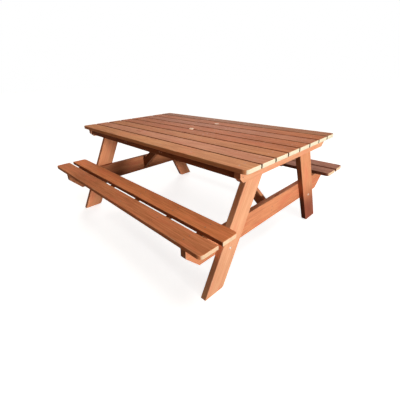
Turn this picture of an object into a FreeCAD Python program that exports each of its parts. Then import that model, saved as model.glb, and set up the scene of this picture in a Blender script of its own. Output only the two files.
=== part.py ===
"""Timber picnic table with two fixed bench seats, an A-frame at each end.

Millimetres.  X runs along the table, Y across it, Z up.  The origin is on the
ground, midway between the two ends and the two sides.  "left" is -X, "right"
is +X, "front" is -Y and "rear" is +Y.
"""
import FreeCAD, Part
import math
import os

from FreeCAD import Vector

os.makedirs("parts", exist_ok=True)

# ---- table top ------------------------------------------------------------
TOP_HEIGHT = 740.0            # ground to the upper face of the top boards
TOP_LENGTH = 1800.0
TOP_BOARD_COUNT = 8
TOP_BOARD_WIDTH = 117.0
TOP_BOARD_THICKNESS = 25.0
TOP_BOARD_GAP = 12.0

# ---- seats ----------------------------------------------------------------
SEAT_HEIGHT = 434.0           # ground to the upper face of the seat boards
SEAT_LENGTH = 1815.0
SEAT_BOARD_WIDTH = 117.0
SEAT_BOARD_THICKNESS = 25.0
SEAT_BOARD_GAP = 31.0
SEAT_OVERHANG = 31.0          # end of a crossbar to the outer edge of a seat

# ---- edges ----------------------------------------------------------------
CORNER_RADIUS = 26.0          # plan radius on the outside corners of top and seats
BOARD_ARRIS = 3.5             # rounded long edges of the boards
FRAME_ARRIS = 3.0             # rounded long edges of the frame timbers

# ---- end frames -----------------------------------------------------------
CROSSBAR_REACH = 787.0        # middle of the table to each end of a crossbar
CROSSBAR_THICKNESS = 37.0
CROSSBAR_WIDTH = 144.0
CROSSBAR_CHAMFER = 95.0
END_BEARER_THICKNESS = 37.0
END_BEARER_DEPTH = 66.0
END_BEARER_CHAMFER = 28.0
END_BEARER_SETBACK = 26.0     # side edge of the top to the end of an end bearer
TOP_OVERHANG = 51.0           # end of the top to the outward face of an end bearer
LEG_THICKNESS = 37.0
LEG_WIDTH = 137.0
LEG_LEAN = 26.5               # degrees from upright
FOOT_SETBACK = 97.0           # end of a crossbar to the outer tip of a foot, in plan
HEEL_CHAMFER = 10.0           # blunted inner corner of a foot

# ---- rails and bearers under the top --------------------------------------
RAIL_THICKNESS = 36.0
RAIL_DEPTH = 46.0
RAIL_SETBACK = 4.0            # end of a bearer to the outward face of a rail
MID_BEARER_THICKNESS = 36.0
MID_BEARER_DEPTH = 46.0
BRACE_WIDTH = 70.0
BRACE_THICKNESS = 30.0
BRACE_SLOPE = 40.0            # degrees from level
BRACE_FOOT_DROP = 86.0        # top of a crossbar to the brace's centre line

# ---- cleats under the seats -----------------------------------------------
FRAME_CLEAT_WIDTH = 48.0      # the two that hold a seat up off the crossbars
FRAME_CLEAT_THICKNESS = 32.0
FREE_CLEAT_WIDTH = 25.0       # those between the frames, which only tie the boards
FREE_CLEAT_THICKNESS = 16.0
FREE_CLEAT_PITCH = 332.0
FREE_CLEATS = 4
CLEAT_SETBACK = 30.0          # edge of a seat to the end of a cleat

# ---- parasol sleeve -------------------------------------------------------
SLEEVE_BORE = 25.6
SLEEVE_WALL = 2.4
SLEEVE_LENGTH = 32.0          # below the flange
SLEEVE_FLANGE_LIP = 2.0       # flange past the tube, all round
SLEEVE_FLANGE_THICKNESS = 5.0
SLEEVE_CLEARANCE = 0.3        # all round, in the hole cut in the boards

# ---- coach bolts ----------------------------------------------------------
BOLT_DIAMETER = 8.0
BOLT_HEAD_DIAMETER = 20.0
BOLT_HEAD_RISE = 5.0
BOLT_NECK_LENGTH = 5.0        # square neck under the head
BOLT_NECK_WIDTH = 8.6
BOLT_TAIL = 4.0               # thread that shows past the nut
LEG_BOLT_RISE = 22.0          # underside of a crossbar to the bolt through the leg
WASHER_DIAMETER = 24.0
WASHER_THICKNESS = 2.0
NUT_SIDES = 6
NUT_ACROSS_FLATS = 13.0
NUT_THICKNESS = 6.5

# ---- wood screws ----------------------------------------------------------
SCREW_DIAMETER = 4.5
SCREW_HEAD_DIAMETER = 9.0
SCREW_HEAD_DEPTH = 3.5
SCREW_POINT = 6.0
TOP_SCREW_LENGTH = 60.0
TOP_SCREW_SPACING = 44.0      # between the two screws of a board
SEAT_SCREW_LENGTH = 38.0
SEAT_FRAME_SCREW_LENGTH = 80.0
SEAT_SCREW_SPACING = 40.0
RAIL_SCREW_PITCH = 324.0
RAIL_SCREW_COUNT = 4
RAIL_END_SCREW_LENGTH = 80.0
RAIL_END_SCREW_SPACING = 22.0
MID_BEARER_SCREW_LENGTH = 80.0
MID_BEARER_SCREW_SPACING = 20.0
BRACE_FOOT_SCREW_LENGTH = 75.0
BRACE_FOOT_SCREW_SPACING = 28.0
BRACE_HEAD_SCREW_LENGTH = 60.0
BRACE_HEAD_SCREW_SPACING = 22.0
LEG_HEAD_SCREW_LENGTH = 70.0
LEG_HEAD_SCREW_SPACING = 80.0 # between the lower two of the three in a leg
LEG_HEAD_SCREW_INSET = 17.0   # lower and upper edges of an end bearer to the screws

# ---- heights and places worked out from the sizes above --------------------
TOP_UNDERSIDE = TOP_HEIGHT - TOP_BOARD_THICKNESS
TOP_PITCH = TOP_BOARD_WIDTH + TOP_BOARD_GAP
TOP_WIDTH = TOP_BOARD_COUNT * TOP_PITCH - TOP_BOARD_GAP
SEAT_UNDERSIDE = SEAT_HEIGHT - SEAT_BOARD_THICKNESS
SEAT_OUTER_EDGE = CROSSBAR_REACH + SEAT_OVERHANG
SEAT_INNER_EDGE = SEAT_OUTER_EDGE - 2 * SEAT_BOARD_WIDTH - SEAT_BOARD_GAP
END_BEARER_OUTER_FACE = TOP_LENGTH / 2 - TOP_OVERHANG
END_BEARER_MIDDLE = END_BEARER_OUTER_FACE - END_BEARER_THICKNESS / 2
END_BEARER_BOTTOM = TOP_UNDERSIDE - END_BEARER_DEPTH
END_BEARER_REACH = TOP_WIDTH / 2 - END_BEARER_SETBACK
LEG_OUTER_FACE = END_BEARER_OUTER_FACE - END_BEARER_THICKNESS
LEG_INNER_FACE = LEG_OUTER_FACE - LEG_THICKNESS
CROSSBAR_INNER_FACE = LEG_INNER_FACE - CROSSBAR_THICKNESS
CROSSBAR_TOP = SEAT_UNDERSIDE - FRAME_CLEAT_THICKNESS
CROSSBAR_BOTTOM = CROSSBAR_TOP - CROSSBAR_WIDTH
CROSSBAR_MIDDLE = LEG_INNER_FACE - CROSSBAR_THICKNESS / 2
RAIL_OUTER_FACE = END_BEARER_REACH - RAIL_SETBACK
RAIL_INNER_FACE = RAIL_OUTER_FACE - RAIL_THICKNESS
RAIL_MIDDLE = RAIL_OUTER_FACE - RAIL_THICKNESS / 2
FOOT_REACH = CROSSBAR_REACH - FOOT_SETBACK
LEG_RUN = math.tan(math.radians(LEG_LEAN))            # inward travel per unit of height
LEG_LEVEL_CUT = LEG_WIDTH / math.cos(math.radians(LEG_LEAN))
BRACE_RISE = math.tan(math.radians(BRACE_SLOPE))
BRACE_UPRIGHT_CUT = BRACE_WIDTH / math.cos(math.radians(BRACE_SLOPE))
BRACE_FOOT_HEIGHT = CROSSBAR_TOP - BRACE_FOOT_DROP
# The lower edge of a brace meets the bottom corner of its mid bearer.
BRACE_HEAD_X = CROSSBAR_INNER_FACE - (
    TOP_UNDERSIDE - MID_BEARER_DEPTH - BRACE_FOOT_HEIGHT + BRACE_UPRIGHT_CUT / 2) / BRACE_RISE
MID_BEARER_MIDDLE = BRACE_HEAD_X - MID_BEARER_THICKNESS / 2
HOLE_RADIUS = SLEEVE_BORE / 2 + SLEEVE_WALL + SLEEVE_CLEARANCE

SIDES = (("front", -1), ("rear", 1))
ENDS = (("left", -1), ("right", 1))

ACROSS = Vector(0, 1, 0)
ALONG = Vector(1, 0, 0)
DOWN = Vector(0, 0, -1)
SAME_PLACE = Part.Precision.confusion()
PARALLEL_SINE = 1e-6          # largest sine of the angle between parallel edges

timbers = {}                  # node name: solid
hardware = {}                 # node name: list of solids
drillings = []                # fasteners that the timbers are drilled for


# ---- shape helpers ---------------------------------------------------------
def box_between(x_range, y_range, z_range):
    low = Vector(min(x_range), min(y_range), min(z_range))
    high = Vector(max(x_range), max(y_range), max(z_range))
    size = high - low
    return Part.makeBox(size.x, size.y, size.z, low)


def prism(points, travel):
    """Solid swept in a straight line from a flat outline."""
    return Part.Face(Part.makePolygon(points + points[:1])).extrude(travel)


def ease(solid, direction, radius):
    """Round the straight edges that run along a direction."""
    edges = []
    for edge in solid.Edges:
        if not isinstance(edge.Curve, Part.Line):
            continue
        along = edge.lastVertex().Point - edge.firstVertex().Point
        if along.cross(direction).Length < along.Length * PARALLEL_SINE:
            edges.append(edge)
    return solid.makeFillet(radius, edges)


def chamfered_bar(start_x, thickness, reach, bottom, top, chamfer):
    """Upright timber across the table whose two lower corners are cut off."""
    outline = [
        (-reach, top),
        (-reach, bottom + chamfer),
        (-reach + chamfer, bottom),
        (reach - chamfer, bottom),
        (reach, bottom + chamfer),
        (reach, top),
    ]
    points = [Vector(start_x, y, z) for y, z in outline]
    return ease(prism(points, ALONG * thickness), ACROSS, FRAME_ARRIS)


def upright_edges_at(solid, corners):
    """Upright edges of a solid that stand over the given plan corners."""
    found = []
    for edge in solid.Edges:
        start = edge.firstVertex().Point
        end = edge.lastVertex().Point
        if math.hypot(start.x - end.x, start.y - end.y) > SAME_PLACE:
            continue
        for x, y in corners:
            if math.hypot(start.x - x, start.y - y) < SAME_PLACE:
                found.append(edge)
    return found


def board(length, y_range, z_range, rounded_side):
    """Plank along X.  rounded_side is the Y edge whose two corners are rounded."""
    plank = box_between((-length / 2, length / 2), y_range, z_range)
    if rounded_side is not None:
        corners = [(-length / 2, rounded_side), (length / 2, rounded_side)]
        plank = plank.makeFillet(CORNER_RADIUS, upright_edges_at(plank, corners))
    rims = []
    for edge in plank.Edges:
        heights = [vertex.Z for vertex in edge.Vertexes]
        if max(heights) - min(heights) < SAME_PLACE:
            rims.append(edge)
    return plank.makeFillet(BOARD_ARRIS, rims)


def screw(head, direction, length):
    """Countersunk wood screw whose head is flush at the point given."""
    shank_radius = SCREW_DIAMETER / 2
    cone = Part.makeCone(SCREW_HEAD_DIAMETER / 2, shank_radius, SCREW_HEAD_DEPTH, head, direction)
    shank_length = length - SCREW_HEAD_DEPTH - SCREW_POINT
    shank_start = head + direction * SCREW_HEAD_DEPTH
    shank = Part.makeCylinder(shank_radius, shank_length, shank_start, direction)
    point_start = shank_start + direction * shank_length
    point = Part.makeCone(shank_radius, 0, SCREW_POINT, point_start, direction)
    return cone.fuse([shank, point]).removeSplitter()


def add_screw(node, head, direction, length):
    solid = screw(head, direction, length)
    hardware.setdefault(node, []).append(solid)
    drillings.append(solid)


def add_bolt(outer_face, side_sign, y, z, grip):
    """Coach bolt along X with its head outward, its washer and its nut."""
    inward = Vector(-side_sign, 0, 0)
    seat = Vector(side_sign * outer_face, y, z)
    ball = (BOLT_HEAD_DIAMETER ** 2 / 4 + BOLT_HEAD_RISE ** 2) / (2 * BOLT_HEAD_RISE)
    dome = Part.makeSphere(ball, seat + inward * (ball - BOLT_HEAD_RISE))
    cutter = Part.makeCylinder(BOLT_HEAD_DIAMETER, BOLT_HEAD_RISE, seat, inward * -1)
    head = dome.common(cutter)
    half = BOLT_NECK_WIDTH / 2
    neck = box_between(
        (seat.x, seat.x + inward.x * BOLT_NECK_LENGTH), (y - half, y + half), (z - half, z + half))
    length = grip + WASHER_THICKNESS + NUT_THICKNESS + BOLT_TAIL
    shank = Part.makeCylinder(BOLT_DIAMETER / 2, length, seat, inward)
    stem = neck.fuse(shank).removeSplitter()
    bolt = head.fuse(stem).removeSplitter()

    back = seat + inward * grip
    washer = Part.makeCylinder(WASHER_DIAMETER / 2, WASHER_THICKNESS, back, inward).cut(shank)
    nut_start = back + inward * WASHER_THICKNESS
    corner_radius = NUT_ACROSS_FLATS / 2 / math.cos(math.pi / NUT_SIDES)
    corners = []
    for turn in range(NUT_SIDES):
        angle = 2 * math.pi * turn / NUT_SIDES
        offset = Vector(0, corner_radius * math.cos(angle), corner_radius * math.sin(angle))
        corners.append(nut_start + offset)
    nut = prism(corners, inward * NUT_THICKNESS).cut(shank)

    hardware.setdefault("coach_bolts", []).append(bolt)
    hardware.setdefault("bolt_washers", []).append(washer)
    hardware.setdefault("bolt_nuts", []).append(nut)
    drillings.append(stem)


# ---- table top ------------------------------------------------------------
def top_board_middle(index):
    return -TOP_WIDTH / 2 + TOP_BOARD_WIDTH / 2 + index * TOP_PITCH


def make_top_boards():
    hole = Part.makeCylinder(HOLE_RADIUS, TOP_BOARD_THICKNESS, Vector(0, 0, TOP_UNDERSIDE))
    for index in range(TOP_BOARD_COUNT):
        middle = top_board_middle(index)
        y_range = (middle - TOP_BOARD_WIDTH / 2, middle + TOP_BOARD_WIDTH / 2)
        rounded_side = None
        if index == 0:
            rounded_side = y_range[0]
        if index == TOP_BOARD_COUNT - 1:
            rounded_side = y_range[1]
        plank = board(TOP_LENGTH, y_range, (TOP_UNDERSIDE, TOP_HEIGHT), rounded_side)
        timbers["top_board_%d" % (index + 1)] = plank.cut(hole)


def make_top_screws():
    for index in range(TOP_BOARD_COUNT):
        for bearer_x in (END_BEARER_MIDDLE, MID_BEARER_MIDDLE):
            for _, end in ENDS:
                for half in (-TOP_SCREW_SPACING / 2, TOP_SCREW_SPACING / 2):
                    head = Vector(end * bearer_x, top_board_middle(index) + half, TOP_HEIGHT)
                    add_screw("top_board_screws", head, DOWN, TOP_SCREW_LENGTH)
    first = -RAIL_SCREW_PITCH * (RAIL_SCREW_COUNT - 1) / 2
    for _, side in SIDES:
        for index in range(RAIL_SCREW_COUNT):
            head = Vector(first + index * RAIL_SCREW_PITCH, side * RAIL_MIDDLE, TOP_HEIGHT)
            add_screw("top_board_screws", head, DOWN, TOP_SCREW_LENGTH)


def make_parasol_sleeve():
    outer = SLEEVE_BORE / 2 + SLEEVE_WALL
    bottom = TOP_HEIGHT - SLEEVE_LENGTH
    tube = Part.makeCylinder(outer, SLEEVE_LENGTH, Vector(0, 0, bottom))
    flange = Part.makeCylinder(
        outer + SLEEVE_FLANGE_LIP, SLEEVE_FLANGE_THICKNESS, Vector(0, 0, TOP_HEIGHT))
    rim = []
    for edge in flange.Edges:
        if edge.BoundBox.ZMin > TOP_HEIGHT + SLEEVE_FLANGE_THICKNESS / 2:
            rim.append(edge)
    flange = flange.makeFillet(SLEEVE_FLANGE_THICKNESS / 2, rim)
    bore = Part.makeCylinder(
        SLEEVE_BORE / 2, SLEEVE_LENGTH + SLEEVE_FLANGE_THICKNESS, Vector(0, 0, bottom))
    hardware["parasol_sleeve"] = [tube.fuse(flange).cut(bore).removeSplitter()]


# ---- bearers, rails and braces under the top ------------------------------
def make_end_bearers():
    for name, end in ENDS:
        timbers["end_bearer_" + name] = chamfered_bar(
            end * LEG_OUTER_FACE, end * END_BEARER_THICKNESS,
            END_BEARER_REACH, END_BEARER_BOTTOM, TOP_UNDERSIDE, END_BEARER_CHAMFER)


def make_edge_rails():
    for name, side in SIDES:
        rail = box_between(
            (-LEG_OUTER_FACE, LEG_OUTER_FACE),
            (side * RAIL_INNER_FACE, side * RAIL_OUTER_FACE),
            (TOP_UNDERSIDE - RAIL_DEPTH, TOP_UNDERSIDE))
        timbers["edge_rail_" + name] = ease(rail, ALONG, FRAME_ARRIS)
        for _, end in ENDS:
            for half in (-RAIL_END_SCREW_SPACING / 2, RAIL_END_SCREW_SPACING / 2):
                head = Vector(
                    end * END_BEARER_OUTER_FACE,
                    side * RAIL_MIDDLE,
                    TOP_UNDERSIDE - RAIL_DEPTH / 2 + half)
                add_screw("rail_end_screws", head, Vector(-end, 0, 0), RAIL_END_SCREW_LENGTH)


def make_mid_bearers():
    for name, end in ENDS:
        bearer = box_between(
            (end * BRACE_HEAD_X, end * (BRACE_HEAD_X - MID_BEARER_THICKNESS)),
            (-RAIL_INNER_FACE, RAIL_INNER_FACE),
            (TOP_UNDERSIDE - MID_BEARER_DEPTH, TOP_UNDERSIDE))
        timbers["mid_bearer_" + name] = bearer
        for _, side in SIDES:
            for half in (-MID_BEARER_SCREW_SPACING / 2, MID_BEARER_SCREW_SPACING / 2):
                head = Vector(
                    end * MID_BEARER_MIDDLE + half,
                    side * RAIL_OUTER_FACE,
                    TOP_UNDERSIDE - MID_BEARER_DEPTH / 2)
                add_screw("mid_bearer_screws", head, Vector(0, -side, 0), MID_BEARER_SCREW_LENGTH)


def make_braces():
    half_cut = BRACE_UPRIGHT_CUT / 2
    upper_edge_x = CROSSBAR_INNER_FACE - (
        TOP_UNDERSIDE - BRACE_FOOT_HEIGHT - half_cut) / BRACE_RISE
    outline = [
        (CROSSBAR_INNER_FACE, BRACE_FOOT_HEIGHT - half_cut),
        (CROSSBAR_INNER_FACE, BRACE_FOOT_HEIGHT + half_cut),
        (upper_edge_x, TOP_UNDERSIDE),
        (BRACE_HEAD_X, TOP_UNDERSIDE),
        (BRACE_HEAD_X, TOP_UNDERSIDE - MID_BEARER_DEPTH),
    ]
    for name, end in ENDS:
        points = [Vector(end * x, -BRACE_THICKNESS / 2, z) for x, z in outline]
        brace = prism(points, Vector(0, BRACE_THICKNESS, 0))
        slope = Vector(-end, 0, BRACE_RISE)
        timbers["brace_" + name] = ease(brace, slope, FRAME_ARRIS)
        for lift in (0, BRACE_FOOT_SCREW_SPACING):
            foot = Vector(end * LEG_INNER_FACE, 0, BRACE_FOOT_HEIGHT + lift)
            add_screw("brace_foot_screws", foot, Vector(-end, 0, 0), BRACE_FOOT_SCREW_LENGTH)
        for half in (-BRACE_HEAD_SCREW_SPACING / 2, BRACE_HEAD_SCREW_SPACING / 2):
            head = Vector(
                end * (BRACE_HEAD_X - MID_BEARER_THICKNESS),
                0,
                TOP_UNDERSIDE - MID_BEARER_DEPTH / 2 + half)
            add_screw("brace_head_screws", head, Vector(end, 0, 0), BRACE_HEAD_SCREW_LENGTH)


# ---- end frames -----------------------------------------------------------
def leg_middle(height):
    """Distance from the middle of the table to a leg's centre line."""
    return FOOT_REACH - LEG_LEVEL_CUT / 2 - height * LEG_RUN


def make_legs():
    half_cut = LEG_LEVEL_CUT / 2
    for end_name, end in ENDS:
        for side_name, side in SIDES:
            outline = [
                (leg_middle(0) + half_cut, 0),
                (leg_middle(TOP_UNDERSIDE) + half_cut, TOP_UNDERSIDE),
                (leg_middle(TOP_UNDERSIDE) - half_cut, TOP_UNDERSIDE),
                (leg_middle(HEEL_CHAMFER) - half_cut, HEEL_CHAMFER),
                (leg_middle(0) - half_cut + HEEL_CHAMFER, 0),
            ]
            points = [Vector(end * LEG_INNER_FACE, side * y, z) for y, z in outline]
            leg = prism(points, Vector(end * LEG_THICKNESS, 0, 0))
            lean = Vector(0, -side * LEG_RUN, 1)
            name = "leg_%s_%s" % (end_name, side_name)
            timbers[name] = ease(leg, lean, FRAME_ARRIS)


def make_crossbars():
    for name, end in ENDS:
        timbers["crossbar_" + name] = chamfered_bar(
            end * CROSSBAR_INNER_FACE, end * CROSSBAR_THICKNESS,
            CROSSBAR_REACH, CROSSBAR_BOTTOM, CROSSBAR_TOP, CROSSBAR_CHAMFER)


def make_frame_fixings():
    """One bolt through each leg and crossbar, and three hidden screws into each end bearer."""
    crossing = CROSSBAR_BOTTOM + LEG_BOLT_RISE
    low = END_BEARER_BOTTOM + LEG_HEAD_SCREW_INSET
    high = TOP_UNDERSIDE - LEG_HEAD_SCREW_INSET
    places = (
        (leg_middle(low) - LEG_HEAD_SCREW_SPACING / 2, low),
        (leg_middle(low) + LEG_HEAD_SCREW_SPACING / 2, low),
        (leg_middle(high), high),
    )
    for _, end in ENDS:
        for _, side in SIDES:
            add_bolt(
                LEG_OUTER_FACE, end, side * leg_middle(crossing), crossing,
                LEG_THICKNESS + CROSSBAR_THICKNESS)
            for y, z in places:
                head = Vector(end * LEG_INNER_FACE, side * y, z)
                add_screw("leg_head_screws", head, Vector(end, 0, 0), LEG_HEAD_SCREW_LENGTH)


# ---- seats ----------------------------------------------------------------
def cleat_places():
    """X of the cleats of one seat, from left to right: one rests on each crossbar."""
    first = -FREE_CLEAT_PITCH * (FREE_CLEATS - 1) / 2
    free = [first + index * FREE_CLEAT_PITCH for index in range(FREE_CLEATS)]
    return [-CROSSBAR_MIDDLE] + free + [CROSSBAR_MIDDLE]


def make_seats():
    inner_middle = SEAT_INNER_EDGE + SEAT_BOARD_WIDTH / 2
    outer_middle = SEAT_OUTER_EDGE - SEAT_BOARD_WIDTH / 2
    heights = (SEAT_UNDERSIDE, SEAT_HEIGHT)
    for side_name, side in SIDES:
        for place, middle, rounded in (
                ("inner", inner_middle, SEAT_INNER_EDGE),
                ("outer", outer_middle, SEAT_OUTER_EDGE)):
            edges = (side * (middle - SEAT_BOARD_WIDTH / 2), side * (middle + SEAT_BOARD_WIDTH / 2))
            plank = board(SEAT_LENGTH, edges, heights, side * rounded)
            timbers["seat_board_%s_%s" % (side_name, place)] = plank
        cleat_y = (side * (SEAT_INNER_EDGE + CLEAT_SETBACK), side * (SEAT_OUTER_EDGE - CLEAT_SETBACK))
        for number, x in enumerate(cleat_places(), start=1):
            if abs(x) == CROSSBAR_MIDDLE:
                width, thickness = FRAME_CLEAT_WIDTH, FRAME_CLEAT_THICKNESS
                node, length = "seat_frame_screws", SEAT_FRAME_SCREW_LENGTH
            else:
                width, thickness = FREE_CLEAT_WIDTH, FREE_CLEAT_THICKNESS
                node, length = "seat_cleat_screws", SEAT_SCREW_LENGTH
            cleat = box_between(
                (x - width / 2, x + width / 2),
                cleat_y,
                (SEAT_UNDERSIDE - thickness, SEAT_UNDERSIDE))
            timbers["seat_cleat_%s_%d" % (side_name, number)] = cleat
            for middle in (inner_middle, outer_middle):
                for half in (-SEAT_SCREW_SPACING / 2, SEAT_SCREW_SPACING / 2):
                    add_screw(node, Vector(x, side * (middle + half), SEAT_HEIGHT), DOWN, length)


# ---- assembly -------------------------------------------------------------
def drill(timber):
    """Cut every fastener that passes through a timber out of it."""
    reached = [tool for tool in drillings if tool.BoundBox.intersect(timber.BoundBox)]
    if not reached:
        return timber
    return timber.cut(Part.makeCompound(reached))


def only_solid(shape):
    """The single solid of a shape that a cut may have wrapped."""
    return shape.Solids[0] if len(shape.Solids) == 1 else shape


def export(name, solids):
    shape = solids[0] if len(solids) == 1 else Part.makeCompound(solids)
    count = len(shape.Solids)
    assert shape.isValid() and count == len(solids), name
    shape.exportStep("parts/%s.step" % name)
    print("%-26s %3d solid(s)  %10.1f cm3" % (name, count, shape.Volume / 1000))


make_top_boards()
make_end_bearers()
make_edge_rails()
make_mid_bearers()
make_braces()
make_legs()
make_crossbars()
make_seats()
make_parasol_sleeve()
make_top_screws()
make_frame_fixings()

for name, timber in timbers.items():
    export(name, [only_solid(drill(timber))])
for name, solids in hardware.items():
    export(name, [only_solid(solid) for solid in solids])
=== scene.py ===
import math
import random

import bmesh
import bpy
import numpy as np
from mathutils import Matrix, Vector


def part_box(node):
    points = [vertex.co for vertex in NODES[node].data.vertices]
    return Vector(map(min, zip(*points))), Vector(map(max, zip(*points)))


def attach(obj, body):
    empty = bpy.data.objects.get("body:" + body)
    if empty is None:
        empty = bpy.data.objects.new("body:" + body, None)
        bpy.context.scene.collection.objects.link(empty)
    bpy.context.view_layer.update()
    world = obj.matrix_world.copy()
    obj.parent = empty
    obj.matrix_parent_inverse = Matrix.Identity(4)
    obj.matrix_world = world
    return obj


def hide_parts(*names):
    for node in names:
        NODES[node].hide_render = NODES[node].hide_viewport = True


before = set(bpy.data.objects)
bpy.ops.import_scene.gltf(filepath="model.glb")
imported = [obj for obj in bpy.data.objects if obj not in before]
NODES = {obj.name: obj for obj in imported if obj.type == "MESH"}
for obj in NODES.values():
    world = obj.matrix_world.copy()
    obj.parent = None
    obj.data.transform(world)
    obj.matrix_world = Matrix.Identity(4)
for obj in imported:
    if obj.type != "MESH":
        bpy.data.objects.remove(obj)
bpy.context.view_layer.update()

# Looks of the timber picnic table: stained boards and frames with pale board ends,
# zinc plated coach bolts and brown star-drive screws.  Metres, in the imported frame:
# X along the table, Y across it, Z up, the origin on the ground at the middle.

# ---- stains and other colours, linear -------------------------------------
# Each stain is its light tone, its dark tone and the redder tone of its blotches.
AMBER = ((0.690, 0.318, 0.135), (0.530, 0.222, 0.092), (0.648, 0.241, 0.105))
ROSE = ((0.657, 0.293, 0.156), (0.498, 0.201, 0.102), (0.604, 0.214, 0.114))
TAWNY = ((0.611, 0.255, 0.102), (0.468, 0.179, 0.069), (0.573, 0.194, 0.079))
RUSSET = ((0.552, 0.194, 0.075), (0.404, 0.130, 0.048), (0.532, 0.151, 0.060))
CLAY = ((0.521, 0.210, 0.104), (0.395, 0.144, 0.068), (0.479, 0.153, 0.076))
UMBER = ((0.420, 0.180, 0.082), (0.310, 0.120, 0.053), (0.405, 0.140, 0.065))
SEAT_STAIN = ((0.780, 0.305, 0.131), (0.580, 0.203, 0.083), (0.740, 0.237, 0.106))
# Painted light: the front inner seat board's lighter stain makes up for the shade of the top over it.
INNER_SEAT_PAINTED_LIGHT = ((0.936, 0.354, 0.140), (0.696, 0.236, 0.088), (0.888, 0.275, 0.113))
# Painted shade: the rear seat's darker, duller stain stands in for the shadow on it.
REAR_SEAT_PAINTED_SHADE = ((0.489, 0.236, 0.156), (0.354, 0.151, 0.099), (0.452, 0.182, 0.128))
PEACH_STAIN = ((0.900, 0.490, 0.280), (0.800, 0.390, 0.210), (0.860, 0.380, 0.215))
LEG_STAIN = ((0.820, 0.380, 0.190), (0.690, 0.285, 0.138), (0.790, 0.285, 0.148))
CROSSBAR_STAIN = ((0.800, 0.340, 0.165), (0.640, 0.240, 0.115), (0.740, 0.240, 0.120))
# Painted shade: the left crossbar's darker stain stands in for the shade it gets from the right end
# frame.
LEFT_CROSSBAR_PAINTED_SHADE = ((0.510, 0.205, 0.094), (0.380, 0.136, 0.060), (0.460, 0.142, 0.068))
# Painted shade: the parts under the top get this much darker stain in place of the shade they sit in.
UNDER_TOP_PAINTED_SHADE = ((0.320, 0.114, 0.044), (0.224, 0.074, 0.028), (0.280, 0.078, 0.032))
TOP_END = (0.850, 0.800, 0.590)
SEAT_END = (0.850, 0.640, 0.420)
FRAME_END = (0.500, 0.200, 0.090)
# Tint by which the feet are darker towards the ground.
FOOT_DARK_TINT = (0.330, 0.200, 0.240)
# Painted shade: tint of the darker long side faces towards a gap or underneath.
PAINTED_SHADE_TINT = (0.380, 0.300, 0.240)
RAW_WOOD = (0.850, 0.600, 0.380)
FILLER = (0.930, 0.700, 0.540)
ZINC = (0.560, 0.400, 0.310)
ZINC_DULL = (0.330, 0.270, 0.220)
BROWN_COATING = (0.480, 0.190, 0.095)
BROWN_DULL = (0.330, 0.135, 0.072)
SLEEVE_CREAM = (0.930, 0.690, 0.480)

TOP_STAINS = (AMBER, ROSE, TAWNY, RUSSET, RUSSET, CLAY, RUSSET, UMBER)

# ---- timber figure ---------------------------------------------------------
RING_PITCH = 0.0045           # between growth rings
LOG_TAPER = 0.012             # ring radius gained per metre along the grain
RING_WANDER = 0.020
PITH_NEAR = 0.03              # pith to the middle of a timber, least and most
PITH_FAR = 0.11
PITH_ALONG = 3                # metres either way along the log that a timber may come from
SEED_REACH = 40
ARRIS_WEAR = (0.006, 0.0005)  # width of the rubbed band along an arris, and of its barest part
WEAR_PATCHES = (0.40, 0.80)
SAME_DIRECTION = 0.999        # cosine within which two faces look the same way
DIRECTIONS_TRIED = 6          # the largest facings of a timber that are compared

# Features per metre along the grain, across it and through the thickness.
WANDER_GRID = (1.3, 7.0, 7.0)
FIBRE_GRID = (7.0, 420.0, 420.0)
STREAK_GRID = (6.0, 130.0, 130.0)
BAND_GRID = (1.6, 45.0, 45.0)
PORE_GRID = (45.0, 1300.0, 1300.0)
MOTTLE_GRID = (3.0, 11.0, 11.0)
FLUSH_GRID = (4.0, 16.0, 16.0)
WEAR_GRID = (14.0, 40.0, 40.0)
FLUSH_SHIFT = (9.0, 4.0, 7.0) # keeps the blotches clear of the mottling

# Knots.  A cell of their pattern holds one where its chance is above KNOT_RARITY.
KNOT_STRETCH = (1.0, 5.0, 5.0)
KNOT_CELLS = 2.2              # per metre of grain
KNOT_SCATTER = 0.9
KNOT_RARITY = 0.66
KNOT_REACH = (0.34, 0.0)      # share of a cell in which the rings bend
KNOT_SIZE = (0.10, 0.06)
KNOT_SWELL = 2.5              # rings that a knot pushes aside

# Where each mark sets in and where it is full.
LATEWOOD_RISE = (0.35, 0.88)  # share of a ring
LATEWOOD_FALL = (1.0, 0.93)
PORE_RANGE = (0.66, 0.74)
FLUSH_RANGE = (0.48, 0.68)
FIBRE_RANGE = (0.38, 0.75)
TONE_RANGE = (0.59, 0.85)
END_CLEAN = (0.45, 0.75)      # patches of an end face whose rings are washed out
END_FACING = (0.60, 0.86)     # cosine between a face and the grain
SIDE_FACING = (0.45, 0.90)    # cosine between a face and the width
RAYS_AROUND = 9.0             # splits of an end face, about the pith and outward from it
RAYS_OUTWARD = 14.0
SPLIT_LEVEL = 0.62
SPLIT_WIDTH = (0.006, 0.0)

# How much each mark counts: in the tone, the colour, the gloss and the relief.
MOTTLE_TONE = 0.55
BAND_TONE = 0.25
STREAK_TONE = 0.65
FLUSH_SHARE = 0.70
RING_SHARE = 0.28
FIBRE_SHARE = 0.45
PORE_SHARE = 0.35
KNOT_SHARE = 0.75
END_RING_SHARE = 0.40
SPLIT_SHARE = 0.60
WORN_SHARE = 0.45
TIMBER_ROUGHNESS = 0.62
FIBRE_ROUGHNESS = 0.16
WORN_POLISH = 0.10
TIMBER_SPECULAR = 0.05
RING_RELIEF = 0.55
FIBRE_RELIEF = 0.50
PORE_RELIEF = 0.45
WORN_RELIEF = 0.30
SPLIT_RELIEF = 0.80
RELIEF_STRENGTH = 0.55
RELIEF_DEPTH = 0.0006

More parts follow.
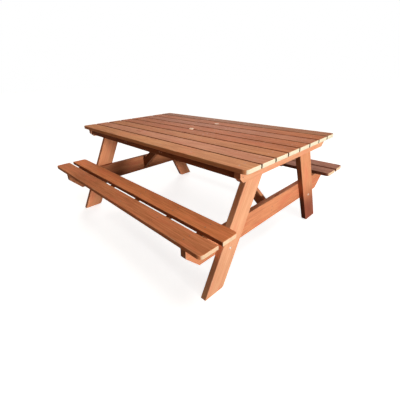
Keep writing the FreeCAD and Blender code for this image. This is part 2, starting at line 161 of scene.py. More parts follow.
# ---- marks on single timbers ------------------------------------------------
FILLED_BOARD = 7              # top board with a pale filled knot
FILLER_PLACE = (0.007, 0.299)
FILLER_RADII = (0.022, 0.017, 0.017)
FILLER_EDGE = (1.1, 0.85)
PALE_LEG = "leg_right_front"
DARK_FOOT_LEG = "leg_right_rear" # its foot is much darker towards the ground than the others
# the right brace is left out of the painted shade of the parts under the top and keeps the leg stain
BRACE_WITHOUT_PAINTED_SHADE = "brace_right"
FOOT_DARK_RISE = 0.40              # ground to where the darkening of a foot ends
FOOT_DARK_FULL = FOOT_DARK_RISE / 3
FOOT_DARK_WANDER = 0.10
LIGHT_FOOT_DARK = 0.08
DEEP_FOOT_DARK = 0.90
GAP_PAINTED_SHADE = 0.85              # painted shade on the long faces that face a gap
LEG_PAINTED_SHADE = 0.50              # the same painted shade on the narrow faces of the dark-foot leg

# ---- hardware --------------------------------------------------------------
AROUND = 48                   # sides of a turned shape
SCREW_AROUND = 24
HEAD_INSET = 0.00015          # screw head inside the rim of its countersink
HEAD_LIP = 0.00012            # softened edge of a screw head's face
HEAD_EDGE = 0.00010           # from the face of a screw head to its widest ring
HEAD_RIM = 0.00030            # and to where its cone starts
RIM_DRAFT = 0.98              # its radius there over the widest
CONE_STRETCH = 1.3            # depth of a head's cone over what it narrows by
DRIVE_RADIUS = 0.0019         # star recess
DRIVE_LOBE = 0.14             # share of the radius by which its six lobes stand out
DRIVE_LOBES = 6
DRIVE_DEPTH = 0.0018
DRIVE_FLOOR = 0.55            # share of the radius at its lowest point
DRIVE_FOOT = (0.92, 0.86)     # shares of the depth and radius where its walls start
DRIVE_FLARE = 1.12            # share of the radius at its softened mouth
POINT_LENGTH = 0.0060         # of a screw
POINT_BEND = (0.0012, 0.30)   # to its blunter tip, and the share of the shank's radius there
POINT_END = 0.0001            # radius of the tip, which stops as far short of the length
THREAD_PITCH = 0.00125        # M8
THREAD_DEPTH = 0.0006
THREAD_LENGTH = 0.022
THREAD_STEPS = 6              # rings of the mesh to each turn
TAIL_TAPER = 1.5              # length of a bolt's tapered end, in thread depths
TAIL_DROP = 1.6               # how far its end face is drawn in, in thread depths
CROWN_SHARES = (0.04, 0.15, 0.30, 0.45, 0.60, 0.74, 0.86, 0.95)   # rings of a cup head
NECK_CORNER = 1.34            # rounded corners of a square neck over its half width
NECK_FALL = 0.0005
RIM_ROUNDING = 0.0004         # washers and bolt heads
HEX_SIDES = 6
HEX_CHAMFER_SLOPE = math.tan(math.radians(30))
FACE_SHARE = 0.95             # chamfer circle of a nut over its flats
SHARP_ANGLE = math.radians(35)
SAME_POINT = 1e-6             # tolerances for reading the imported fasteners
SAME_REACH = 1e-5
CLEARLY_PAST = 1e-4

# ---- hardware finishes -------------------------------------------------------
GRAIN_CELLS = 700.0           # per metre
GRAIN_TONE = 0.4
CLOUD_GRID = (260.0, 260.0, 260.0)
CLOUD_TONE = 0.8
DULL_RANGE = (0.35, 0.95)
METAL_RELIEF = 0.25
METAL_RELIEF_DEPTH = 0.0002
ZINC_GLOSS = (0.40, 0.65)     # roughness, least and most
BROWN_GLOSS = (0.38, 0.60)
FADE_GRID = (90.0, 90.0, 90.0)
FADE_RANGE = (0.40, 0.75)
FADED = 0.82                  # of the plastic's colour
PLASTIC_GLOSS = (0.42, 0.66)
PLASTIC_GRID = (2600.0, 2600.0, 2600.0)
PLASTIC_RELIEF = 0.20
PLASTIC_RELIEF_DEPTH = 0.0001

# ---- floor, light and camera -----------------------------------------------
FLOOR_SIZE = 60.0
FLOOR_BOUNCE = (0.085, 0.072, 0.060, 1.0)   # what the floor returns to the table
FLOOR_SHADE = 0.80            # and to the eye: its own shade, which carries the shadow,
FLOOR_GLOW = 0.77             # and a glow that makes it near white
ROOM_LIGHT = 0.17             # world strength on the table, and 1 to the eye
ROOM_TINT = (1.0, 0.78, 0.58, 1.0)
# Each far lamp: strength, softness in degrees, and where it shines from.
FAR_LAMPS = {
    "low_light": (3.3, 9.0, (0.996, -0.055, 0.045)),
    "back_light": (1.2, 30.0, (-0.60, 0.70, 0.40)),
}
SOFTBOX_POWER = 44.0
SOFTBOX_SIZE = 1.8
SOFTBOX_PLACE = (1.30, -0.20, 3.20)
SOFTBOX_AIM = (0.25, 0.0, 0.60)
CAMERA_PLACE = (1.524, -1.430, 1.137)
CAMERA_YAW = 47.594           # degrees, from +Y towards -X
CAMERA_PITCH = 26.286         # downward
CAMERA_ROLL = -1.879
CAMERA_LENS = 22.99
SENSOR_WIDTH = 36.0
CAMERA_SHIFT = 0.0247
CAMERA_NEAR = 0.05


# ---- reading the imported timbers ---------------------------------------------
def timber_axes(node):
    """Rotation (grain, width, thickness), centre and half sizes of a timber, from its mesh."""
    mesh = NODES[node].data
    normals = np.empty(len(mesh.polygons) * 3)
    areas = np.empty(len(mesh.polygons))
    mesh.polygons.foreach_get("normal", normals)
    mesh.polygons.foreach_get("area", areas)
    normals = normals.reshape(-1, 3)
    directions = []
    while len(directions) < DIRECTIONS_TRIED and areas.any():
        direction = normals[areas.argmax()]
        same = abs(normals @ direction) > SAME_DIRECTION
        directions.append((areas[same].sum(), tuple(direction)))
        areas[same] = 0
    directions.sort(reverse=True)
    thickness = Vector(directions[0][1]).normalized()
    grain = Vector(directions[1][1]).cross(thickness).normalized()
    width = thickness.cross(grain)
    rotation = Matrix((grain, width, thickness)).transposed()
    corners = np.empty(len(mesh.vertices) * 3)
    mesh.vertices.foreach_get("co", corners)
    local = corners.reshape(-1, 3) @ np.array(rotation)
    low, high = local.min(0), local.max(0)
    centre = rotation @ Vector((low + high) / 2)
    return rotation, centre, Vector((high - low) / 2)


def loose_solids(node):
    """Corner arrays of the separate solids that share a node."""
    mesh = bmesh.new()
    mesh.from_mesh(NODES[node].data)
    bmesh.ops.remove_doubles(mesh, verts=mesh.verts, dist=SAME_POINT)
    solids = []
    seen = set()
    for start in mesh.verts:
        if start in seen:
            continue
        seen.add(start)
        reached = [start]
        for vertex in reached:
            for edge in vertex.link_edges:
                other = edge.other_vert(vertex)
                if other not in seen:
                    seen.add(other)
                    reached.append(other)
        solids.append(np.array([vertex.co for vertex in reached]))
    mesh.free()
    return solids


# ---- shader graphs -----------------------------------------------------------
class Graph:
    """Short ways to add shader nodes to a tree.  A socket given as an input is linked to it."""

    def __init__(self, tree):
        self.tree = tree

    def add(self, kind, inputs, **settings):
        node = self.tree.nodes.new(kind)
        for key, value in settings.items():
            setattr(node, key, value)
        self.feed(node, inputs)
        return node

    def feed(self, node, inputs):
        """Link or set the inputs of a node."""
        for key, value in inputs.items():
            if isinstance(value, bpy.types.NodeSocket):
                self.tree.links.new(value, node.inputs[key])
            else:
                node.inputs[key].default_value = value

    def math(self, operation, a, b=0.0, clamp=False):
        node = self.add("ShaderNodeMath", {0: a, 1: b}, operation=operation, use_clamp=clamp)
        return node.outputs[0]

    def total(self, *terms):
        """Sum of values, each times its share."""
        sum_so_far = self.math("MULTIPLY", *terms[0])
        for value, share in terms[1:]:
            sum_so_far = self.math("ADD", sum_so_far, self.math("MULTIPLY", value, share))
        return sum_so_far

    def vector(self, operation, a, b=(0, 0, 0)):
        node = self.add("ShaderNodeVectorMath", {0: a, 1: b}, operation=operation)
        return node.outputs["Value" if operation in ("LENGTH", "DOT_PRODUCT") else "Vector"]

    def step(self, value, low, high):
        """0 at low, 1 at high, smooth between."""
        inputs = {"Value": value, "From Min": low, "From Max": high}
        return self.add("ShaderNodeMapRange", inputs, interpolation_type="SMOOTHSTEP").outputs[0]

    def mix(self, factor, a, b, blend="MIX"):
        inputs = {0: factor, 6: a, 7: b}
        return self.add("ShaderNodeMix", inputs, data_type="RGBA", blend_type=blend).outputs[2]

    def lay(self, colour, coat, mask, share, blend="MIX"):
        """A colour with a share of a coat over it where the mask is 1."""
        return self.mix(self.math("MULTIPLY", mask, share), colour, coat, blend)

    def darken(self, colour, tint, factor):
        """A colour multiplied by a tint, by the given factor."""
        return self.mix(factor, colour, self.mix(1.0, colour, opaque(tint), "MULTIPLY"))

    def noise(self, vector, stretch, detail=2.0, roughness=0.5):
        """Noise whose frequency, per metre, differs along each axis."""
        inputs = {
            "Vector": self.vector("MULTIPLY", vector, stretch), "Scale": 1.0,
            "Detail": detail, "Roughness": roughness}
        return self.add("ShaderNodeTexNoise", inputs)

    def spread(self, value, least, most):
        """A value from 0 to 1, spread over another range."""
        inputs = {"Value": value, "To Min": least, "To Max": most}
        return self.add("ShaderNodeMapRange", inputs).outputs[0]

    def relief(self, height, strength, depth):
        """Normal of a surface with fine relief."""
        inputs = {"Strength": strength, "Distance": depth, "Height": height}
        return self.add("ShaderNodeBump", inputs).outputs[0]

    def separate(self, vector):
        return self.add("ShaderNodeSeparateXYZ", {0: vector}).outputs

    def combine(self, x, y, z):
        return self.add("ShaderNodeCombineXYZ", {0: x, 1: y, 2: z}).outputs[0]


def grey(level):
    return (level, level, level, 1.0)


def opaque(colour):
    return (*colour, 1.0)


def timber_group():
    """Node group that paints stained softwood: rings, fibres, knots, rubbed arrises, painted shade on
    side faces, feet darker towards the ground.
    """
    tree = bpy.data.node_groups.new("stained_softwood", "ShaderNodeTree")
    for name, kind in (
            ("Local", "Vector"), ("Half", "Vector"), ("Grain", "Vector"), ("Seed", "Vector"),
            ("Pith", "Vector"), ("Light", "Color"), ("Dark", "Color"), ("Blush", "Color"),
            ("End", "Color"), ("Filler at", "Vector"), ("Filler", "Float"), ("Rise", "Float"),
            ("Foot dark", "Float"), ("Across", "Vector"), ("Side painted shade", "Float")):
        tree.interface.new_socket(name, in_out="INPUT", socket_type="NodeSocket" + kind)
    for name, kind in (("Color", "Color"), ("Roughness", "Float"), ("Normal", "Vector")):
        tree.interface.new_socket(name, in_out="OUTPUT", socket_type="NodeSocket" + kind)
    g = Graph(tree)
    given = g.add("NodeGroupInput", {}).outputs
    local = given["Local"]
    seeded = g.vector("ADD", local, given["Seed"])

    # Knots: a few cells of a coarse pattern hold one, and the rings bend round it.
    cells = g.add("ShaderNodeTexVoronoi", {
        "Vector": g.vector("MULTIPLY", seeded, KNOT_STRETCH), "Scale": KNOT_CELLS,
        "Randomness": KNOT_SCATTER})
    chosen = g.math("GREATER_THAN", g.separate(cells.outputs["Color"])[0], KNOT_RARITY)
    near_knot = g.math("MULTIPLY", g.step(cells.outputs["Distance"], *KNOT_REACH), chosen)
    knot = g.math("MULTIPLY", g.step(cells.outputs["Distance"], *KNOT_SIZE), chosen)

    # Growth rings about the pith.
    wander = g.noise(seeded, WANDER_GRID, detail=3.0).outputs["Color"]
    wander = g.vector("SUBTRACT", wander, (0.5, 0.5, 0.5))
    wander = g.vector("MULTIPLY", wander, (0, RING_WANDER, RING_WANDER))
    x, y, z = g.separate(g.vector("ADD", g.vector("ADD", local, given["Pith"]), wander))
    radius = g.vector("LENGTH", g.combine(0.0, y, z))
    radius = g.math("ADD", radius, g.total((x, LOG_TAPER), (near_knot, KNOT_SWELL * RING_PITCH)))
    phase = g.math("FRACT", g.math("DIVIDE", radius, RING_PITCH))
    late = g.math("MULTIPLY", g.step(phase, *LATEWOOD_RISE), g.step(phase, *LATEWOOD_FALL))

    # Fibres, streaks and pores run along the grain.
    fibre = g.noise(seeded, FIBRE_GRID, detail=3.0, roughness=0.65).outputs[0]
    streak = g.noise(seeded, STREAK_GRID, detail=3.0, roughness=0.6).outputs[0]
    band = g.noise(seeded, BAND_GRID, detail=2.0).outputs[0]
    pore = g.step(g.noise(seeded, PORE_GRID, detail=1.0).outputs[0], *PORE_RANGE)
    mottle = g.noise(seeded, MOTTLE_GRID, detail=4.0, roughness=0.6).outputs[0]
    flush = g.noise(g.vector("ADD", seeded, FLUSH_SHIFT), FLUSH_GRID, detail=3.0).outputs[0]

    # The end faces, where fibres are cut across, and fine splits that start at the pith.
    normal = g.add("ShaderNodeTexCoord", {}).outputs["Normal"]
    facing = g.math("ABSOLUTE", g.vector("DOT_PRODUCT", normal, given["Grain"]))
    end = g.step(facing, *END_FACING)
    bearing = g.math("ARCTAN2", z, y)
    spokes = g.combine(
        g.math("MULTIPLY", bearing, RAYS_AROUND), g.math("MULTIPLY", radius, RAYS_OUTWARD), 0.0)
    ray = g.noise(spokes, (1.0, 1.0, 1.0), detail=2.0).outputs[0]
    split = g.step(g.math("ABSOLUTE", g.math("SUBTRACT", ray, SPLIT_LEVEL)), *SPLIT_WIDTH)

    # Rubbed arrises: the second smallest distance to the faces is small there.
    inset = g.vector("SUBTRACT", given["Half"], g.vector("ABSOLUTE", local))
    dx, dy, dz = g.separate(inset)
    larger = g.math("MAXIMUM", dx, dy)
    arris = g.math("MAXIMUM", g.math("MINIMUM", dx, dy), g.math("MINIMUM", larger, dz))
    patchy = g.noise(seeded, WEAR_GRID, detail=3.0).outputs[0]
    worn = g.math("MULTIPLY", g.step(arris, *ARRIS_WEAR), g.step(patchy, *WEAR_PATCHES))

    # Colour, from the stain outward.
    tone = g.total((mottle, MOTTLE_TONE), (band, BAND_TONE), (streak, STREAK_TONE))
    colour = g.mix(g.step(tone, *TONE_RANGE), given["Light"], given["Dark"])
    colour = g.lay(colour, given["Blush"], g.step(flush, *FLUSH_RANGE), FLUSH_SHARE)
    colour = g.lay(colour, given["Dark"], late, RING_SHARE)
    colour = g.lay(colour, grey(0.0), g.step(fibre, *FIBRE_RANGE), FIBRE_SHARE, "SOFT_LIGHT")
    colour = g.lay(colour, given["Dark"], pore, PORE_SHARE, "MULTIPLY")
    colour = g.lay(colour, given["Dark"], knot, KNOT_SHARE, "MULTIPLY")

    # End grain, rubbed wood, painted shade on faces towards a gap or underneath, filler, and feet
    # darker towards the ground.
    end_rings = g.lay(given["End"], given["Light"], late, END_RING_SHARE, "MULTIPLY")
    end_rings = g.mix(g.step(mottle, *END_CLEAN), end_rings, given["End"])
    end_rings = g.lay(end_rings, given["Dark"], split, SPLIT_SHARE, "MULTIPLY")
    colour = g.mix(end, colour, end_rings)
    colour = g.lay(colour, opaque(RAW_WOOD), worn, WORN_SHARE)
    # Painted shade on the faces across the width, by the share given for each timber.
    side = g.math("ABSOLUTE", g.vector("DOT_PRODUCT", normal, given["Across"]))
    side_painted_shade = g.math("MULTIPLY", g.step(side, *SIDE_FACING), given["Side painted shade"])
    colour = g.darken(colour, PAINTED_SHADE_TINT, side_painted_shade)
    apart = g.vector("SUBTRACT", local, given["Filler at"])
    apart = g.vector("LENGTH", g.vector("DIVIDE", apart, FILLER_RADII))
    filler = g.math("MULTIPLY", g.step(apart, *FILLER_EDGE), given["Filler"])
    colour = g.mix(filler, colour, opaque(FILLER))
    sway = g.math("MULTIPLY", g.math("SUBTRACT", mottle, 0.5), FOOT_DARK_WANDER)
    foot_dark_mask = g.step(g.math("ADD", given["Rise"], sway), FOOT_DARK_RISE, FOOT_DARK_FULL)
    colour = g.darken(colour, FOOT_DARK_TINT, g.math("MULTIPLY", foot_dark_mask, given["Foot dark"]))

    rough = g.total((fibre, FIBRE_ROUGHNESS), (worn, -WORN_POLISH))
    rough = g.math("ADD", rough, TIMBER_ROUGHNESS)
    height = g.total(
        (late, RING_RELIEF), (fibre, FIBRE_RELIEF), (pore, -PORE_RELIEF), (worn, -WORN_RELIEF),
        (g.math("MULTIPLY", split, end), -SPLIT_RELIEF))
    g.add("NodeGroupOutput", {
        "Color": colour, "Roughness": rough,
        "Normal": g.relief(height, RELIEF_STRENGTH, RELIEF_DEPTH)})
    return tree


def surface(name, **sockets):
    """New material, its graph and its shader node with the given sockets set."""
    material = bpy.data.materials.new(name)
    material.use_nodes = True
    graph = Graph(material.node_tree)
    shader = material.node_tree.nodes["Principled BSDF"]
    for key, value in sockets.items():
        shader.inputs[key.replace("_", " ")].default_value = value
    return material, graph, shader


def paint_timber(node, stain, end_colour, filler_at=None, foot_dark=0.0, side_painted_shade=0.0):
    """Give a CAD timber its own piece of stained softwood."""
    rotation, centre, half = timber_axes(node)
    chance = random.Random("log of " + node)
    seed = [chance.uniform(-SEED_REACH, SEED_REACH) for _ in range(3)]
    angle = chance.uniform(0, 2 * math.pi)
    distance = chance.uniform(PITH_NEAR, PITH_FAR)
    along = chance.uniform(-PITH_ALONG, PITH_ALONG)
    pith = (along, distance * math.cos(angle), distance * math.sin(angle))
    material, g, shader = surface(node + "_finish", Specular_IOR_Level=TIMBER_SPECULAR)
    position = g.add("ShaderNodeTexCoord", {}).outputs["Object"]
    local = g.add("ShaderNodeMapping", {
        "Vector": position, "Location": centre, "Rotation": rotation.to_euler()}, vector_type="TEXTURE")
    inputs = {
        "Local": local.outputs[0], "Half": half, "Grain": rotation.col[0], "Seed": seed, "Pith": pith,
        "Light": opaque(stain[0]), "Dark": opaque(stain[1]), "Blush": opaque(stain[2]),
        "End": opaque(end_colour), "Rise": g.separate(position)[2], "Foot dark": foot_dark,
        "Across": rotation.col[1], "Side painted shade": side_painted_shade}
    if filler_at is not None:
        inputs["Filler at"] = rotation.transposed() @ (filler_at - centre)
        inputs["Filler"] = 1.0
    made = g.add("ShaderNodeGroup", inputs, node_tree=SOFTWOOD).outputs
    g.feed(shader, {
        "Base Color": made["Color"], "Roughness": made["Roughness"], "Normal": made["Normal"]})
    NODES[node].material_slots[0].material = material


def speckled_metal(name, colour, dull, metallic, gloss):
    """Plated or coated steel: cloudy grains of gloss, and dull patches."""
    material, g, shader = surface(name, Metallic=metallic)
    position = g.add("ShaderNodeTexCoord", {}).outputs["Object"]
    grains = g.add("ShaderNodeTexVoronoi", {"Vector": position, "Scale": GRAIN_CELLS}).outputs["Color"]
    cloud = g.noise(position, CLOUD_GRID, detail=4.0, roughness=0.6).outputs[0]
    tone = g.total((g.separate(grains)[0], GRAIN_TONE), (cloud, CLOUD_TONE))
    g.feed(shader, {
        "Base Color": g.mix(g.step(tone, *DULL_RANGE), opaque(colour), opaque(dull)),
        "Roughness": g.spread(tone, *gloss),
        "Normal": g.relief(cloud, METAL_RELIEF, METAL_RELIEF_DEPTH)})
    return material


def moulded_plastic(name, colour):
    """Sun-faded plastic with a fine moulded texture and dust."""
    material, g, shader = surface(name)
    position = g.add("ShaderNodeTexCoord", {}).outputs["Object"]
    cloud = g.noise(position, FADE_GRID, detail=4.0, roughness=0.6).outputs[0]
    grain = g.noise(position, PLASTIC_GRID, detail=1.0).outputs[0]
    faded = opaque([FADED * part for part in colour])
    g.feed(shader, {
        "Base Color": g.mix(g.step(cloud, *FADE_RANGE), opaque(colour), faded),
        "Roughness": g.spread(cloud, *PLASTIC_GLOSS),
        "Normal": g.relief(grain, PLASTIC_RELIEF, PLASTIC_RELIEF_DEPTH)})
    return material


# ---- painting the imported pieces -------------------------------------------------
SOFTWOOD = timber_group()

for index, stain in enumerate(TOP_STAINS, start=1):
    board = "top_board_%d" % index
    filler_at = Vector((*FILLER_PLACE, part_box(board)[1].z)) if index == FILLED_BOARD else None
    # All top boards but the front one get painted shade on their long side faces.
    paint_timber(board, stain, TOP_END, filler_at, side_painted_shade=0.0 if index == 1 else GAP_PAINTED_SHADE)

for node in NODES:
    if node.endswith("screws"):
        continue
    if node.startswith("seat_board"):
        # The rear seat's stain holds painted shade, and the front inner board's stain painted light.
        stain = REAR_SEAT_PAINTED_SHADE if "rear" in node else SEAT_STAIN
        stain = INNER_SEAT_PAINTED_LIGHT if node == "seat_board_front_inner" else stain
        paint_timber(node, stain, SEAT_END, side_painted_shade=GAP_PAINTED_SHADE if node.endswith("inner") else 0.0)
    # Rails, mid bearers, braces and seat cleats take painted shade as their stain, all but the right
    # brace.
    if node.startswith(("edge_rail", "mid_bearer", "brace", "seat_cleat")):
        paint_timber(node, LEG_STAIN if node == BRACE_WITHOUT_PAINTED_SHADE else UNDER_TOP_PAINTED_SHADE, FRAME_END)
    # The left crossbar's stain holds painted shade.
    if node.startswith("crossbar"):
        paint_timber(node, CROSSBAR_STAIN if node.endswith("right") else LEFT_CROSSBAR_PAINTED_SHADE, FRAME_END)
    if node.startswith("end_bearer"):
        paint_timber(node, PEACH_STAIN, FRAME_END)
    if node.startswith("leg"):
        stain = PEACH_STAIN if node == PALE_LEG else LEG_STAIN
        # Every foot is a little darker towards the ground and the right rear one much more; that leg's
        # narrow faces also get painted shade.
        has_dark_foot = node == DARK_FOOT_LEG
        paint_timber(node, stain, FRAME_END, foot_dark=DEEP_FOOT_DARK if has_dark_foot else LIGHT_FOOT_DARK,
                     side_painted_shade=LEG_PAINTED_SHADE if has_dark_foot else 0.0)

zinc = speckled_metal("dulled_zinc", ZINC, ZINC_DULL, 1.0, ZINC_GLOSS)
brown = speckled_metal("brown_screw_coating", BROWN_COATING, BROWN_DULL, 0.0, BROWN_GLOSS)
NODES["parasol_sleeve"].material_slots[0].material = moulded_plastic("cream_plastic", SLEEVE_CREAM)


# ---- detailed hardware ------------------------------------------------------------
class Turned:
    """Mesh of rings about a moving axis.  Each ring is an axial place and a radius for each side."""

    def __init__(self):
        self.points = []
        self.faces = []

    def place(self, origin, axis, spin=0.0):
        """Set where the next solid starts, which way its axis runs and how far it is turned."""
        self.origin, self.axis = origin, axis
        self.across = Vector((0, 1, 0)) if abs(axis.x) > 0.5 else Vector((1, 0, 0))
        self.beside = axis.cross(self.across)
        self.spin = spin

    def ring(self, along, radii):
        """Add a ring and give its point numbers.  Both values are one number, or one for each side."""
        count = max(np.size(along), np.size(radii))
        along = np.broadcast_to(along, count)
        radii = np.broadcast_to(radii, count)
        start = len(self.points)
        for side in range(count):
            angle = 2 * math.pi * side / count + self.spin
            out = self.across * math.cos(angle) + self.beside * math.sin(angle)
            self.points.append(self.origin + self.axis * float(along[side]) + out * float(radii[side]))
        return range(start, start + count)

    def skin(self, rings, closed=False):
        """Join neighbouring rings.  An open row of rings is capped at both ends."""
        pairs = list(zip(rings, rings[1:]))
        if closed:
            pairs.append((rings[-1], rings[0]))
        else:
            self.faces += [tuple(rings[0]), tuple(rings[-1])]
        for first, second in pairs:
            count = len(first)
            for side in range(count):
                after = (side + 1) % count
                self.faces.append((first[side], first[after], second[after], second[side]))

    def piece(self, name, node, material):
        """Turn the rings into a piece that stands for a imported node."""
        mesh = bpy.data.meshes.new(name)
        mesh.from_pydata([tuple(point) for point in self.points], [], self.faces)
        work = bmesh.new()
        work.from_mesh(mesh)
        bmesh.ops.recalc_face_normals(work, faces=work.faces)
        work.to_mesh(mesh)
        work.free()
        mesh.polygons.foreach_set("use_smooth", [True] * len(mesh.polygons))
        mesh.set_sharp_from_angle(angle=SHARP_ANGLE)
        mesh.materials.append(material)
        made = bpy.data.objects.new(name, mesh)
        bpy.context.scene.collection.objects.link(made)
        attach(made, "root")
        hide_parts(node)


def sides(count, lobes=0.0):
    """Share of the radius for each side of a ring: 1, or a wave of lobes about it."""
    angles = np.arange(count) * 2 * math.pi / count
    return 1 + lobes * np.cos(DRIVE_LOBES * angles)


def lie(corners):
    """Head end, direction and length of a fastener along one of the axes, from its corners."""
    low, high = corners.min(0), corners.max(0)
    run = int((high - low).argmax())
    middle = (low + high) / 2
    offset = corners - middle
    offset[:, run] = 0
    widest = corners[np.linalg.norm(offset, axis=1).argmax(), run]
    head, tail = middle.copy(), middle.copy()
    near_low = widest - low[run] < high[run] - widest
    head[run], tail[run] = (low[run], high[run]) if near_low else (high[run], low[run])
    head, tail = Vector(head), Vector(tail)
    return head, (tail - head).normalized(), (tail - head).length


def make_star_screws(node):
    """Countersunk wood screws with a six-lobed recess, one for each packed screw."""
    turned = Turned()
    chance = random.Random("turns of " + node)
    for corners in loose_solids(node):
        head, axis, length = lie(corners)
        offset = corners - np.array(head)
        offset -= np.outer(offset @ np.array(axis), np.array(axis))
        head_radius = np.linalg.norm(offset, axis=1).max() - HEAD_INSET
        shank_radius = head_radius / 2
        turned.place(head, axis, chance.uniform(0, math.pi))
        star = sides(SCREW_AROUND, DRIVE_LOBE) * DRIVE_RADIUS
        soft_star = sides(SCREW_AROUND, DRIVE_LOBE / 2) * DRIVE_RADIUS
        circle = sides(SCREW_AROUND)
        cone_end = HEAD_RIM + (head_radius - shank_radius) * CONE_STRETCH
        turned.skin([
            turned.ring(DRIVE_DEPTH, star * DRIVE_FLOOR),
            turned.ring(DRIVE_DEPTH * DRIVE_FOOT[0], star * DRIVE_FOOT[1]),
            turned.ring(HEAD_LIP, star),
            turned.ring(0.0, soft_star * DRIVE_FLARE),
            turned.ring(0.0, circle * (head_radius - HEAD_LIP)),
            turned.ring(HEAD_EDGE, circle * head_radius),
            turned.ring(HEAD_RIM, circle * head_radius * RIM_DRAFT),
            turned.ring(cone_end, circle * shank_radius),
            turned.ring(length - POINT_LENGTH, circle * shank_radius),
            turned.ring(length - POINT_BEND[0], circle * shank_radius * POINT_BEND[1]),
            turned.ring(length - POINT_END, circle * POINT_END),
        ])
    turned.piece(node.replace("screws", "star_screws"), node, brown)


def make_coach_bolts():
    """Cup heads, square necks and threaded tails."""
    turned = Turned()
    circle = sides(AROUND)
    angles = np.arange(AROUND) * 2 * math.pi / AROUND
    for corners in loose_solids("coach_bolts"):
        head, axis, length = lie(corners)
        along = (corners - np.array(head)) @ np.array(axis)
        offset = corners - np.array(head) - np.outer(along, np.array(axis))
        reach = np.linalg.norm(offset, axis=1)
        head_radius = reach.max()
        rise = along[reach > head_radius - SAME_REACH].max()
        shank_radius = reach[along > length - CLEARLY_PAST].max()
        neck = (reach > shank_radius + CLEARLY_PAST) & (along > rise + CLEARLY_PAST)
        neck_end = along[neck].max()
        neck_half = abs(offset[neck]).max()
        turned.place(head, axis)
        ball = (head_radius ** 2 + rise ** 2) / (2 * rise)
        rings = []
        for share in CROWN_SHARES:
            radius = head_radius * share
            rings.append(turned.ring(ball - math.sqrt(ball ** 2 - radius ** 2), radius * circle))
        rings.append(turned.ring(rise - RIM_ROUNDING, (head_radius - RIM_ROUNDING / 3) * circle))
        rings.append(turned.ring(rise, (head_radius - RIM_ROUNDING) * circle))
        square = neck_half / np.maximum(abs(np.cos(angles)), abs(np.sin(angles)))
        square = np.minimum(square, neck_half * NECK_CORNER)
        rings.append(turned.ring(rise, square))
        rings.append(turned.ring(neck_end - NECK_FALL, square))
        rings.append(turned.ring(neck_end, np.minimum(square, shank_radius)))
        thread_start = length - THREAD_LENGTH
        rings.append(turned.ring(thread_start, shank_radius * circle))
        steps = round(THREAD_LENGTH / THREAD_PITCH * THREAD_STEPS)
        for step in range(1, steps):
            travel = THREAD_LENGTH * step / steps
            phase = (travel / THREAD_PITCH - angles / (2 * math.pi)) % 1.0
            depth = THREAD_DEPTH * (1 - abs(2 * phase - 1)) * min(1.0, travel / THREAD_PITCH)
            taper = max(0.0, travel - THREAD_LENGTH + THREAD_DEPTH * TAIL_TAPER)
            radii = shank_radius - np.maximum(depth, taper)
            rings.append(turned.ring(thread_start + travel, radii))
        rings.append(turned.ring(length, (shank_radius - THREAD_DEPTH * TAIL_DROP) * circle))
        turned.skin(rings)
    turned.piece("coach_bolts_threaded", "coach_bolts", zinc)


def make_washers():
    """Plain washers with rounded rims."""
    turned = Turned()
    for corners in loose_solids("bolt_washers"):
        low, high = Vector(corners.min(0)), Vector(corners.max(0))
        middle = (low + high) / 2
        reach = np.hypot(corners[:, 1] - middle.y, corners[:, 2] - middle.z)
        outer, bore = reach.max(), reach.min()
        thickness = high.x - low.x
        turned.place(Vector((low.x, middle.y, middle.z)), Vector((1, 0, 0)))
        circle = sides(AROUND)
        turned.skin([
            turned.ring(0.0, (bore + RIM_ROUNDING) * circle),
            turned.ring(0.0, (outer - RIM_ROUNDING) * circle),
            turned.ring(RIM_ROUNDING / 3, (outer - RIM_ROUNDING / 3) * circle),
            turned.ring(RIM_ROUNDING, outer * circle),
            turned.ring(thickness - RIM_ROUNDING, outer * circle),
            turned.ring(thickness - RIM_ROUNDING / 3, (outer - RIM_ROUNDING / 3) * circle),
            turned.ring(thickness, (outer - RIM_ROUNDING) * circle),
            turned.ring(thickness, (bore + RIM_ROUNDING) * circle),
            turned.ring(thickness - RIM_ROUNDING / 2, bore * circle),
            turned.ring(RIM_ROUNDING / 2, bore * circle),
        ], closed=True)
    turned.piece("bolt_washers_rounded", "bolt_washers", zinc)


def make_nuts():
    """Hexagon nuts, chamfered on both faces and at both mouths of the bore."""
    turned = Turned()
    for corners in loose_solids("bolt_nuts"):
        low, high = Vector(corners.min(0)), Vector(corners.max(0))
        middle = (low + high) / 2
        reach = np.hypot(corners[:, 1] - middle.y, corners[:, 2] - middle.z)
        flat = reach.max() * math.cos(math.pi / HEX_SIDES)
        bore = reach.min()
        thickness = high.x - low.x
        turned.place(Vector((low.x, middle.y, middle.z)), Vector((1, 0, 0)))
        angles = np.arange(AROUND) * 2 * math.pi / AROUND
        turn = angles % (2 * math.pi / HEX_SIDES) - math.pi / HEX_SIDES
        hexagon = flat / np.cos(turn)
        face = flat * FACE_SHARE * sides(AROUND)
        fall = (hexagon - face) * HEX_CHAMFER_SLOPE
        circle = sides(AROUND)
        turned.skin([
            turned.ring(0.0, face),
            turned.ring(fall, hexagon),
            turned.ring(thickness - fall, hexagon),
            turned.ring(thickness, face),
            turned.ring(thickness, (bore + RIM_ROUNDING) * circle),
            turned.ring(thickness - RIM_ROUNDING, bore * circle),
            turned.ring(RIM_ROUNDING, bore * circle),
            turned.ring(0.0, (bore + RIM_ROUNDING) * circle),
        ], closed=True)
    turned.piece("bolt_nuts_chamfered", "bolt_nuts", zinc)


for node in list(NODES):
    if node.endswith("screws"):
        make_star_screws(node)
make_coach_bolts()
make_washers()
make_nuts()


# ---- floor, light and camera ---------------------------------------------------
def seen_by_eye(g):
    """1 for the rays that look at a backdrop: straight, by reflection or through glass."""
    path = g.add("ShaderNodeLightPath", {}).outputs
    seen = g.math("ADD", path["Is Camera Ray"], path["Is Glossy Ray"])
    return g.math("ADD", seen, path["Is Transmission Ray"], clamp=True)


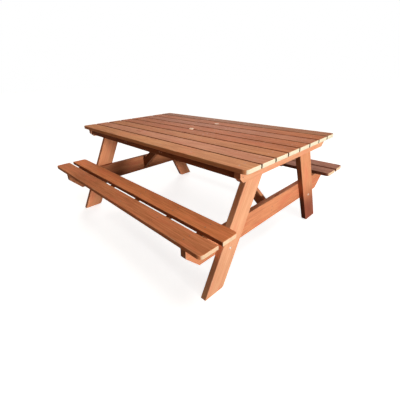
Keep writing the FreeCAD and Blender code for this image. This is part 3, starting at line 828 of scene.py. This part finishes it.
def make_floor():
    mesh = bpy.data.meshes.new("studio_floor")
    half = FLOOR_SIZE / 2
    corners = [(-half, -half, 0), (half, -half, 0), (half, half, 0), (-half, half, 0)]
    mesh.from_pydata(corners, [], [(0, 1, 2, 3)])
    floor = bpy.data.objects.new("studio_floor", mesh)
    bpy.context.scene.collection.objects.link(floor)
    material = bpy.data.materials.new("pale_floor")
    material.use_nodes = True
    g = Graph(material.node_tree)
    output = material.node_tree.nodes["Material Output"]
    bounce = g.add("ShaderNodeBsdfDiffuse", {"Color": FLOOR_BOUNCE}).outputs[0]
    face = g.add("ShaderNodeBsdfDiffuse", {"Color": grey(FLOOR_SHADE)}).outputs[0]
    glow = g.add("ShaderNodeEmission", {"Color": grey(1.0), "Strength": FLOOR_GLOW}).outputs[0]
    shown = g.add("ShaderNodeAddShader", {0: face, 1: glow}).outputs[0]
    mixed = g.add("ShaderNodeMixShader", {0: seen_by_eye(g), 1: bounce, 2: shown}).outputs[0]
    g.feed(output, {"Surface": mixed})
    mesh.materials.append(material)


def make_lights():
    scene = bpy.context.scene
    world = bpy.data.worlds.new("studio")
    scene.world = world
    world.use_nodes = True
    g = Graph(world.node_tree)
    seen = seen_by_eye(g)
    g.feed(world.node_tree.nodes["Background"], {
        "Color": g.mix(seen, ROOM_TINT, grey(1.0)), "Strength": g.spread(seen, ROOM_LIGHT, 1.0)})
    for name, (energy, softness, direction) in FAR_LAMPS.items():
        lamp = bpy.data.objects.new(name, bpy.data.lights.new(name, "SUN"))
        lamp.data.energy = energy
        lamp.data.angle = math.radians(softness)
        lamp.rotation_euler = Vector(direction).to_track_quat("Z", "Y").to_euler()
        scene.collection.objects.link(lamp)
    softbox = bpy.data.objects.new("softbox", bpy.data.lights.new("softbox", "AREA"))
    softbox.data.energy = SOFTBOX_POWER
    softbox.data.size = SOFTBOX_SIZE
    softbox.location = SOFTBOX_PLACE
    back = Vector(SOFTBOX_PLACE) - Vector(SOFTBOX_AIM)
    softbox.rotation_euler = back.to_track_quat("Z", "Y").to_euler()
    softbox.visible_camera = False
    scene.collection.objects.link(softbox)


def make_camera():
    yaw, pitch, roll = (math.radians(angle) for angle in (CAMERA_YAW, CAMERA_PITCH, CAMERA_ROLL))
    forward = Vector((
        -math.sin(yaw) * math.cos(pitch), math.cos(yaw) * math.cos(pitch), -math.sin(pitch)))
    level = Vector((math.cos(yaw), math.sin(yaw), 0))
    upward = level.cross(forward)
    right = level * math.cos(roll) + upward * math.sin(roll)
    up = upward * math.cos(roll) - level * math.sin(roll)
    turn = Matrix((right, up, -forward)).transposed().to_4x4()
    camera = bpy.data.objects.new("camera", bpy.data.cameras.new("camera"))
    camera.matrix_world = Matrix.Translation(CAMERA_PLACE) @ turn
    camera.data.sensor_width = SENSOR_WIDTH
    camera.data.lens = CAMERA_LENS
    camera.data.shift_x = CAMERA_SHIFT
    camera.data.clip_start = CAMERA_NEAR
    bpy.context.scene.collection.objects.link(camera)
    bpy.context.scene.camera = camera


make_floor()
make_lights()
make_camera()
bpy.context.scene.view_settings.view_transform = "Standard"
